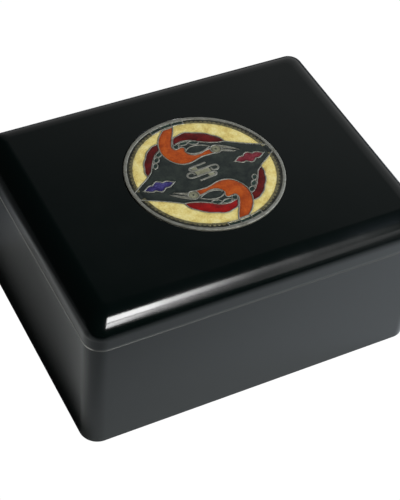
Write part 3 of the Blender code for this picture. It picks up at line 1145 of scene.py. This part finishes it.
@dataclass
class Medallion:
    """The round cloisonne medallion: struck plate, toothed ring, wires and enamel."""

    picture: CranePicture
    metal: bpy.types.Material
    ring_metal: bpy.types.Material
    plate_segments: int = 192
    rim_width: float = 1.15 * MM
    rim_rounding: float = 0.22 * MM
    rim_steps: int = 5
    track_width: float = 1.75 * MM
    ring_width: float = 0.58 * MM
    tooth_depth: float = 0.62 * MM
    tooth_fullness: float = 0.7
    tooth_count: int = 100
    tooth_steps: int = 6
    tooth_drop: float = 0.06 * MM
    field_half_angle: float = 4.0
    wire_width: float = 0.42 * MM
    stroke_width: float = 0.72 * MM
    wire_rounding: float = 0.08 * MM
    wire_drop: float = 0.04 * MM
    wire_depth: float = 0.45 * MM
    wire_spacing: float = 0.12 * MM
    longest_mitre: float = 2.2
    enamel_drop: float = 0.17 * MM
    enamel_depth: float = 0.2 * MM
    enamel_dome: float = 0.07 * MM
    rim_shade_width: float = 0.275 * MM
    border_steps: int = 120
    grid: float = 0.42 * MM
    grid_row: float = 0.87
    grid_margin: float = 0.3

    def __post_init__(self) -> None:
        """Read the medallion's place from its CAD node."""
        low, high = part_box("medallion")
        self.radius = high.x
        self.bottom = low.z
        self.top = high.z
        self.rim_inner = self.radius - self.rim_width
        self.ring_outer = self.rim_inner - self.track_width + self.ring_width
        self.ring_inner = self.ring_outer - self.ring_width
        self.ring_middle = (self.ring_outer + self.ring_inner) / 2
        self.wire_top = self.top - self.wire_drop

    def plate(self) -> bpy.types.Object:
        """Turn the struck plate with its rounded rim.

        Returns:
            The plate.
        """
        ground = self.top - self.enamel_drop - self.enamel_depth
        rounding = self.rim_rounding
        profile = [(self.radius, self.bottom)]
        for rise, fall in quarter(self.rim_steps):
            inset = rounding * (1 - fall)
            profile.append((self.radius - inset, self.top - rounding * (1 - rise)))
        for rise, fall in quarter(self.rim_steps):
            inset = rounding * rise
            profile.append((self.rim_inner + rounding - inset, self.top - rounding * (1 - fall)))
        profile.append((self.rim_inner, ground))
        rings = [circle(radius, height, self.plate_segments) for radius, height in profile]
        return finish_piece(skin(rings), "medallion_plate", self.metal, "medallion")

    def tooth_reach(self, degrees: float) -> float:
        """Tell how far the toothed ring's outer edge stands out, which is nothing at a tail.

        Args:
            degrees: The angle round the ring.

        Returns:
            The reach.
        """
        slant = math.degrees(self.picture.turn)
        for middle in self.picture.tail_angles:
            if off_axis(degrees, middle + slant) < self.picture.tail_half_angle:
                return 0.0
        wave = abs(math.sin(math.radians(degrees) * self.tooth_count / 2))
        return self.tooth_depth * wave ** self.tooth_fullness

    def ring_sinks(self, degrees: float) -> bool:
        """Tell whether the toothed ring dips under the dark field's pointed end at an angle."""
        lean = math.degrees(self.picture.turn + self.picture.field_lean)
        return off_axis(degrees, lean) < self.field_half_angle

    def toothed_ring(self) -> bpy.types.Object:
        """Bend the twisted wire that bounds the picture, a ring of rounded teeth.

        Returns:
            The ring.
        """
        count = self.tooth_count * self.tooth_steps
        low = self.top - self.enamel_drop - self.enamel_depth
        high = self.wire_top - self.tooth_drop
        easing = self.wire_rounding
        sections = []
        for index in range(count):
            degrees = 360 * index / count
            outer = self.ring_outer + self.tooth_reach(degrees)
            crest = low + 2 * easing if self.ring_sinks(degrees) else high
            section = (
                (outer, low), (outer, crest - easing), (outer - easing, crest),
                (self.ring_inner + easing, crest), (self.ring_inner, crest - easing), (self.ring_inner, low),
            )
            places = [(polar(radius, degrees), height) for radius, height in section]
            sections.append([Vector((place.x, place.y, height)) for place, height in places])
        ring = skin(list(zip(*sections)), closed=True)
        return finish_piece(ring, "medallion_twisted_ring", self.ring_metal)

    def strip(self, shape: bmesh.types.BMesh, path: Sequence[Vector], width: float) -> None:
        """Add one wire, a strip on edge with eased top corners, along a flat path.

        Args:
            shape: The bmesh that takes the wire.
            path: The wire's middle line, closed when its ends meet.
            width: The wire's thickness seen from above.
        """
        closed = (path[0] - path[-1]).length < TOUCHING
        points = list(path[:-1]) if closed else list(path)
        count = len(points)
        half = width / 2
        easing = self.wire_rounding
        section = (
            (-half, -self.wire_depth), (-half, -easing), (-half + easing, 0.0),
            (half - easing, 0.0), (half, -easing), (half, -self.wire_depth),
        )
        rings = []
        for index, point in enumerate(points):
            before = points[index - 1] if closed or index else None
            after = points[(index + 1) % count] if closed or index < count - 1 else None
            across = crossing(before, point, after, self.longest_mitre)
            ring = []
            for aside, rise in section:
                place = point + across * aside
                ring.append(shape.verts.new((place.x, place.y, self.wire_top + rise)))
            rings.append(ring)
        join_rings(shape, rings, closed)

    def wire_paths(self, cells: Sequence[Cell]) -> list[list[Vector]]:
        """Follow the stretches of wire that show round the cells.

        Args:
            cells: The picture's cells, the lowest first.

        Returns:
            The middle line of each stretch.
        """
        paths = []
        for index, cell in enumerate(cells):
            if cell.wired:
                covers = [later.outline for later in cells[index + 1:]]
                closed = [*cell.outline, cell.outline[0]]
                paths += shown_runs(closed, covers, self.wire_spacing)
        return paths

    def wires(self, paths: Sequence[Sequence[Vector]]) -> bpy.types.Object:
        """Bend all the wires and the scroll's broad strokes.

        Args:
            paths: The wires' middle lines.

        Returns:
            All of them as one piece.
        """
        shape = bmesh.new()
        for path in paths:
            self.strip(shape, path, self.wire_width)
        for path in self.picture.strokes():
            self.strip(shape, path, self.stroke_width)
        bmesh.ops.recalc_face_normals(shape, faces=shape.faces)
        return finish_piece(smooth_mesh(shape), "medallion_wires", self.metal)

    def flat_mesh(self, cells: Sequence[Cell]) -> tuple[np.ndarray, np.ndarray]:
        """Divide the enamelled disc into triangles that follow every outline.

        Args:
            cells: The picture's cells.

        Returns:
            Flat points, and the three corners of each triangle.
        """
        points = []
        edges = []
        around = 2 * self.border_steps
        borders = [round_outline(ORIGIN, radius, around) for radius in (self.ring_middle, self.rim_inner)]
        for outline in [cell.outline for cell in cells] + borders:
            first = len(points)
            points += outline
            edges += [(first + index, first + (index + 1) % len(outline)) for index in range(len(outline))]
        rows = math.ceil(self.rim_inner / self.grid)
        reach = self.rim_inner - self.grid_margin * self.grid
        for row in range(-rows, rows + 1):
            shift = 0.5 * (row % 2)
            for column in range(-rows, rows + 1):
                place = Vector(((column + shift) * self.grid, row * self.grid * self.grid_row))
                if place.length < reach:
                    points.append(place)
        made = delaunay_2d_cdt(points, edges, [], 0, TOUCHING)
        places = np.array([tuple(point) for point in made[0]])
        corners = np.array(made[2])
        middles = places[corners].mean(axis=1)
        return places, corners[np.hypot(middles[:, 0], middles[:, 1]) < self.rim_inner]

    def enamels(self, cells: Sequence[Cell], paths: Sequence[Sequence[Vector]]) -> list[bpy.types.Object]:
        """Fill the cells with enamel, one piece for each colour.

        Args:
            cells: The picture's cells, the lowest first.
            paths: The wires that show.

        Returns:
            The enamel pieces.
        """
        places, corners = self.flat_mesh(cells)
        middles = places[corners].mean(axis=1)
        tones = list(Tone)
        on_track = np.hypot(middles[:, 0], middles[:, 1]) > self.ring_middle
        colour = np.where(on_track, tones.index(Tone.TRACK), tones.index(Tone.CREAM))
        for cell in cells:
            colour[covered(middles, cell.outline)] = tones.index(cell.tone)
        radii = (self.ring_middle, self.rim_inner)
        borders = [arc(ORIGIN, radius, 0, 360, self.border_steps) for radius in radii]
        # Distance from the wires, which sets the enamel's dome and its painted shade next to the wires.
        away = segment_distance(places, [*paths, *borders]) - self.wire_width / 2
        rim = 1 - np.exp(-np.clip(away, 0.0, None) / self.rim_shade_width)
        heights = self.top - self.enamel_drop + self.enamel_dome * rim
        pieces = []
        for number, tone in enumerate(tones):
            chosen = corners[colour == number]
            if len(chosen):
                pieces.append(self.enamel_piece(tone, places, heights, rim, chosen))
        return pieces

    def enamel_piece(self, tone: Tone, places: np.ndarray, heights: np.ndarray, rim: np.ndarray,
                     corners: np.ndarray) -> bpy.types.Object:
        """Fill the cells of one colour, domed between the wires and closed below.

        Args:
            tone: The enamel's colour.
            places: Flat points of the whole disc.
            heights: Height of the enamel at each point.
            rim: Shade at each point, 0 at a wire and 1 well inside.
            corners: The triangles of this colour.

        Returns:
            The piece.
        """
        used, numbers = np.unique(corners, return_inverse=True)
        surface = bpy.data.meshes.new("surface")
        triangles = numbers.reshape(-1, 3)
        surface.from_pydata([(*places[index], heights[index]) for index in used], [], triangles.tolist())
        shade = surface.attributes.new("rim", "FLOAT", "POINT")
        shade.data.foreach_set("value", rim[used].astype(np.float32))
        shape = bmesh.new()
        shape.from_mesh(surface)
        bpy.data.meshes.remove(surface)
        made = bmesh.ops.extrude_face_region(shape, geom=shape.faces[:], use_keep_orig=True)
        lower = [item for item in made["geom"] if isinstance(item, bmesh.types.BMVert)]
        bmesh.ops.translate(shape, verts=lower, vec=(0.0, 0.0, -self.enamel_depth))
        bmesh.ops.recalc_face_normals(shape, faces=shape.faces)
        material = GlassEnamel(tone).build()
        return finish_piece(smooth_mesh(shape), f"enamel_{tone.value[0]}", material)

    def build(self) -> list[bpy.types.Object]:
        """Build every piece of the medallion.

        Returns:
            The pieces.
        """
        cells = self.picture.cells((self.ring_middle, self.rim_inner))
        paths = self.wire_paths(cells)
        return [self.plate(), self.toothed_ring(), self.wires(paths), *self.enamels(cells, paths)]


class Seen(Enum):
    """Which rays see a part of the studio."""

    BY_CAMERA = "camera"
    BY_REFLECTION = "reflection"


@dataclass(frozen=True)
class Softbox:
    """A flat soft light that hangs square to one direction from the box.

    The azimuth runs from the front towards the right and the elevation up from the table, in degrees.
    The four edges are tangents of the angle off that direction, to the right and up.
    """

    name: str
    azimuth: float
    elevation: float
    left: float
    right: float
    low: float
    high: float
    distance: float
    radiance: float
    colour: str = "#ffffff"
    mirrored: bool = True

    def build(self, target: Vector) -> bpy.types.Object:
        """Hang the light so that it faces the target.

        Args:
            target: The place that it lights.

        Returns:
            The light.
        """
        turn = math.radians(self.azimuth)
        tilt = math.radians(self.elevation)
        towards = Vector((math.sin(turn) * math.cos(tilt), -math.cos(turn) * math.cos(tilt), math.sin(tilt)))
        aside = Vector((math.cos(turn), math.sin(turn), 0.0))
        upward = towards.cross(aside)
        lamp = bpy.data.lights.new(self.name, "AREA")
        lamp.shape = "RECTANGLE"
        lamp.size = self.distance * (self.right - self.left)
        lamp.size_y = self.distance * (self.high - self.low)
        lamp.energy = self.radiance * math.pi * lamp.size * lamp.size_y
        lamp.color = linear_colour(self.colour)[:3]
        item = add_object(self.name, lamp)
        middle = aside * (self.left + self.right) / 2 + upward * (self.low + self.high) / 2
        item.location = target + (towards + middle) * self.distance
        item.rotation_euler = Matrix((aside, upward, towards)).transposed().to_euler()
        item.visible_camera = False
        item.visible_glossy = self.mirrored
        return item


@dataclass
class Studio:
    """A plain pale table in a darkened studio, lit by soft boxes.

    The lacquer mirrors the table and the room, so both are shaded to give the photo's reflections.
    Each pair of side_shade is a place along X and a part of the table's own paleness there. The
    other shades are the place where one starts, the place where it ends, and its darkest part.
    The front's shade gives way to the others over the stretch of Y that side_start names.
    A front panel is a soft box's name, its four edges and its radiance.
    """

    backdrop_reach: float = 3.0
    backdrop_radiance: float = 1.02
    sheet_edges: tuple[float, float, float, float] = (-0.4, 0.4, -0.3, 0.45)
    below: float = 0.2 * MM
    table_colour: str = "#e6eae9"
    table_roughness: float = 0.9
    # Painted light: the card's pool of light fades out towards the front between these places, sooner at the
    # left, down to fade_darkest.
    fade_start: float = -0.045
    fade_end: float = -0.185
    fade_lean: float = 0.33
    fade_darkest: float = 0.01
    # Painted shadow and shade on the card: a dark shadow at the foot of the box's left side, dimmer further
    # left, at the right and behind the box, and a little darker at its front left corner.
    side_shade: Stops = (
        (-0.25, 0.45), (-0.12, 0.5), (-0.1, 0.8), (-0.088, 1.1), (-0.078, 1.12), (-0.066, 0.82),
        (-0.0595, 0.02), (-0.0575, 0.06), (-0.0555, 0.6), (-0.05, 1.0),
        (0.055, 1.0), (0.075, 0.4), (0.1, 0.4),
    )
    side_start: Flat = (-0.05, -0.035)
    back_shade: tuple[float, float, float] = (0.042, 0.075, 0.27)
    front_shade: tuple[float, float, float] = (-0.07, -0.05, 0.78)
    wall_by_height: Stops = (
        (0.0, 0.4), (0.3, 0.31), (0.6, 0.3), (0.64, 0.27),
        (0.665, 0.21), (0.69, 0.13), (0.73, 0.04), (1.0, 0.02),
    )
    wall_from_right: float = 2.67
    wall_from_back: float = 0.5
    wall_less: float = -0.5
    room_glow: float = 0.014
    lit_height: float = 0.045
    key_azimuth: float = -10.0
    key_elevation: float = 40.0
    key_distance: float = 1.2
    front_panels: tuple[tuple[str, float, float, float, float, float], ...] = (
        ("key_upper", 0.30, 0.46, 0.0, 0.40, 26.0),
        ("key_lower", 0.30, 0.43, -0.38, -0.05, 22.0),
        ("key_edge", 0.465, 0.55, -0.50, 0.42, 1.6),
        ("key_side", 0.55, 0.72, -0.60, 0.40, 0.5),
        ("key_foot", 0.72, 0.92, -0.65, -0.12, 0.9),
    )
    fills: tuple[Softbox, Softbox] = (
        Softbox("fill_left", -10.0, 40.0, -0.9, 0.3, -0.42, 0.5, 1.2, 1.15, mirrored=False),
        Softbox("fill_right", 82.0, 34.0, -0.3, 0.3, -0.25, 0.25, 0.5, 6.5, "#dfe8ff"),
    )
    camera_place: tuple[float, float, float] = (-168.13, -278.02, 361.39)
    camera_heading: float = 31.368
    camera_dip: float = 46.429
    camera_roll: float = 6.277
    camera_lens_mm: float = 105.1
    camera_clip: Flat = (0.01, 20.0)
    sensor_mm: float = 36.0

    def sheet(self, name: str, seen: Seen, drop: float, edges: Sequence[float],
              material: bpy.types.Material) -> bpy.types.Object:
        """Lay one level sheet under the box.

        Args:
            name: The sheet's name.
            seen: Which rays see it.
            drop: How far below the box's underside it lies.
            edges: Its left, right, front and back edges.
            material: Its finish.

        Returns:
            The sheet.
        """
        left, right, front, back = edges
        mesh = bpy.data.meshes.new(name)
        mesh.from_pydata(
            [(left, front, -drop), (right, front, -drop), (right, back, -drop), (left, back, -drop)],
            [], [(0, 1, 2, 3)],
        )
        mesh.materials.append(material)
        item = add_object(name, mesh)
        item.visible_camera = seen is Seen.BY_CAMERA
        item.visible_glossy = seen is Seen.BY_REFLECTION
        item.visible_diffuse = seen is Seen.BY_REFLECTION
        item.visible_transmission = seen is Seen.BY_REFLECTION
        item.visible_shadow = seen is Seen.BY_REFLECTION
        return item

    def backdrop(self) -> bpy.types.Material:
        """Make the plain white that the camera sees behind the box.

        Returns:
            The material.
        """
        white = bpy.data.materials.new("white_backdrop")
        white.use_nodes = True
        tree = white.node_tree
        tree.nodes.remove(tree.nodes["Principled BSDF"])
        glow = add_node(tree, "ShaderNodeEmission", {"Strength": self.backdrop_radiance})
        feed(tree, tree.nodes["Material Output"], {"Surface": glow.outputs["Emission"]})
        return white

    def card_fade(self, card: Finish, parts: bpy.types.Node) -> bpy.types.NodeSocket:
        """Make the card's colour, with its light painted on: the pool of light fades to dark towards the
        front, sooner at the left.

        Args:
            card: The card.
            parts: The node that gives X, Y and Z.

        Returns:
            The socket that gives the colour.
        """
        # Painted light: the pool of light on the card fades out towards the front, sooner at the left.
        slanting = add_node(
            card.tree, "ShaderNodeMath",
            {0: parts.outputs["X"], 1: self.fade_lean, 2: parts.outputs["Y"]}, operation="MULTIPLY_ADD",
        )
        fade = add_node(
            card.tree, "ShaderNodeMapRange",
            {"Value": slanting.outputs["Value"], "From Min": self.fade_end, "From Max": self.fade_start},
            interpolation_type="SMOOTHSTEP",
        )
        tint = colour_ramp(
            add_node(card.tree, "ShaderNodeValToRGB", {"Fac": fade.outputs["Result"]}),
            ((0.0, grey(self.fade_darkest)), (1.0, linear_colour(self.table_colour))),
        )
        return tint.outputs["Color"]

    def card_around(self, card: Finish, parts: bpy.types.Node) -> bpy.types.NodeSocket:
        """Paint shadow and shade on the card beside and behind the box.

        Args:
            card: The card.
            parts: The node that gives X, Y and Z.

        Returns:
            The socket that gives the part of the colour that is left.
        """
        # Painted shadow: dark at the foot of the box's left side, dimmer further left and to the right of
        # the box.
        first = self.side_shade[0][0]
        last = self.side_shade[-1][0]
        beside = add_node(
            card.tree, "ShaderNodeMapRange",
            {"Value": parts.outputs["X"], "From Min": first, "From Max": last},
        )
        side = colour_ramp(
            add_node(card.tree, "ShaderNodeValToRGB", {"Fac": beside.outputs["Result"]}),
            tuple(((place - first) / (last - first), grey(value)) for place, value in self.side_shade),
        )
        # Painted shade: dimmer behind the box.
        start, end, darkest = self.back_shade
        back = add_node(
            card.tree, "ShaderNodeMapRange",
            {
                "Value": parts.outputs["Y"], "From Min": start, "From Max": end,
                "To Min": 1.0, "To Max": darkest,
            },
            interpolation_type="SMOOTHSTEP",
        )
        around = add_node(
            card.tree, "ShaderNodeMix",
            {"Factor": 1.0, MIX_COLOUR_A: side.outputs["Color"], MIX_COLOUR_B: back.outputs["Result"]},
            data_type="RGBA", blend_type="MULTIPLY",
        )
        return around.outputs[MIX_COLOUR_OUT]

    def card_shade(self, card: Finish, parts: bpy.types.Node) -> bpy.types.NodeSocket:
        """Paint shade on the card all round the box, in one way in front of it and in another elsewhere.

        Args:
            card: The card.
            parts: The node that gives X, Y and Z.

        Returns:
            The socket that gives the part of the colour that is left.
        """
        # Painted shade: a little darker in front of the box's left corner.
        start, end, darkest = self.front_shade
        front = add_node(
            card.tree, "ShaderNodeMapRange",
            {
                "Value": parts.outputs["X"], "From Min": start, "From Max": end,
                "To Min": darkest, "To Max": 1.0,
            },
        )
        start, end = self.side_start
        not_front = add_node(
            card.tree, "ShaderNodeMapRange",
            {"Value": parts.outputs["Y"], "From Min": start, "From Max": end},
            interpolation_type="SMOOTHSTEP",
        )
        shade = add_node(
            card.tree, "ShaderNodeMix",
            {
                0: not_front.outputs["Result"], MIX_COLOUR_A: front.outputs["Result"],
                MIX_COLOUR_B: self.card_around(card, parts),
            },
            data_type="RGBA",
        )
        return shade.outputs[MIX_COLOUR_OUT]

    def card(self) -> bpy.types.Material:
        """Make the pale matt card that lights the box and is mirrored in it.

        Returns:
            The material.
        """
        card = Finish("pale_matt_card")
        parts = add_node(card.tree, "ShaderNodeSeparateXYZ", {"Vector": card.place})
        colour = add_node(
            card.tree, "ShaderNodeMix",
            {
                "Factor": 1.0, MIX_COLOUR_A: self.card_fade(card, parts),
                MIX_COLOUR_B: self.card_shade(card, parts),
            },
            data_type="RGBA", blend_type="MULTIPLY",
        )
        feed(card.tree, card.shader, {
            "Base Color": colour.outputs[MIX_COLOUR_OUT],
            "Roughness": self.table_roughness,
            "Specular IOR Level": 0.0,
        })
        return card.material

    def table(self) -> None:
        """Lay the pale table: one sheet that the camera sees, one that lights and is mirrored."""
        reach = self.backdrop_reach
        self.sheet("floor", Seen.BY_CAMERA, self.below, (-reach, reach, -reach, reach), self.backdrop())
        self.sheet("floor_mirrored", Seen.BY_REFLECTION, 2 * self.below, self.sheet_edges, self.card())

    def world(self) -> None:
        """Darken the room, but for a dim wall that is palest low down at the back right."""
        world = bpy.data.worlds.new("studio")
        bpy.context.scene.world = world
        world.use_nodes = True
        tree = world.node_tree
        place = add_node(tree, "ShaderNodeTexCoord").outputs["Generated"]
        parts = add_node(tree, "ShaderNodeSeparateXYZ", {"Vector": place})
        rise = colour_ramp(
            add_node(tree, "ShaderNodeValToRGB", {"Fac": parts.outputs["Z"]}),
            tuple((place, grey(value)) for place, value in self.wall_by_height),
        )
        by_side = add_node(
            tree, "ShaderNodeMath",
            {0: parts.outputs["X"], 1: self.wall_from_right, 2: self.wall_less}, operation="MULTIPLY_ADD",
        )
        share = add_node(
            tree, "ShaderNodeMath",
            {0: parts.outputs["Y"], 1: self.wall_from_back, 2: by_side.outputs["Value"]},
            operation="MULTIPLY_ADD", use_clamp=True,
        )
        lit = add_node(
            tree, "ShaderNodeMath",
            {0: rise.outputs["Color"], 1: share.outputs["Value"]}, operation="MULTIPLY",
        )
        dim = add_node(tree, "ShaderNodeMath", {0: lit.outputs["Value"], 1: self.room_glow}, operation="ADD")
        seen = add_node(tree, "ShaderNodeLightPath").outputs["Is Camera Ray"]
        mixed = add_node(
            tree, "ShaderNodeMix", {"Factor": seen, "A": dim.outputs["Value"], "B": 1.0}, data_type="FLOAT",
        )
        feed(tree, tree.nodes["Background"], {"Color": grey(1.0), "Strength": mixed.outputs["Result"]})

    def lights(self) -> None:
        """Hang the soft boxes.

        A tall bright strip at the front, with dimmer ones to its right, gives the lacquer its
        highlights. A wide fill at the left lights the card in the box's shadow and isn't mirrored,
        and a weak box hangs at the right.
        """
        target = Vector((0.0, 0.0, self.lit_height))
        for name, left, right, low, high, radiance in self.front_panels:
            panel = Softbox(
                name, self.key_azimuth, self.key_elevation, left, right, low, high,
                self.key_distance, radiance,
            )
            panel.build(target)
        for fill in self.fills:
            fill.build(target)

    def camera(self) -> None:
        """Set the camera at the photograph's viewing angle."""
        data = bpy.data.cameras.new("camera")
        data.lens = self.camera_lens_mm
        data.sensor_width = self.sensor_mm
        data.clip_start, data.clip_end = self.camera_clip
        item = add_object("camera", data)
        item.location = Vector(self.camera_place) * MM
        heading = Matrix.Rotation(-math.radians(self.camera_heading), 3, "Z")
        dip = Matrix.Rotation(math.pi / 2 - math.radians(self.camera_dip), 3, "X")
        roll = Matrix.Rotation(math.radians(self.camera_roll), 3, "Z")
        item.rotation_euler = (heading @ dip @ roll).to_euler()
        bpy.context.scene.camera = item

    def build(self) -> None:
        """Build the whole studio."""
        self.camera()
        self.table()
        self.world()
        self.lights()
        view = bpy.context.scene.view_settings
        view.view_transform = "Standard"
        view.look = "None"


def write_sizes() -> None:
    """Bring the scene's placements up to date."""
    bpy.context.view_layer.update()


def main() -> None:
    """Build the studio and every piece of the box in order, and report each piece."""
    logging.basicConfig(level=logging.INFO, format="%(message)s")
    Studio().build()
    carcass = Carcass()
    lacquer = BlackLacquer().build(carcass.seam)
    nickelled = AgedBrass().build()
    twisted = AgedBrass("tarnished_twisted_brass_wire", "#a49d78", "#7b7353", 0.6).build()
    pieces = [
        BoxBase(carcass, lacquer).build(),
        Lid(carcass, lacquer).build(),
        *Medallion(CranePicture(), nickelled, twisted).build(),
    ]
    for piece in pieces:
        log.info("%s: %d faces", piece.name, len(piece.data.polygons))
    write_sizes()


if __name__ == "__main__":
    main()
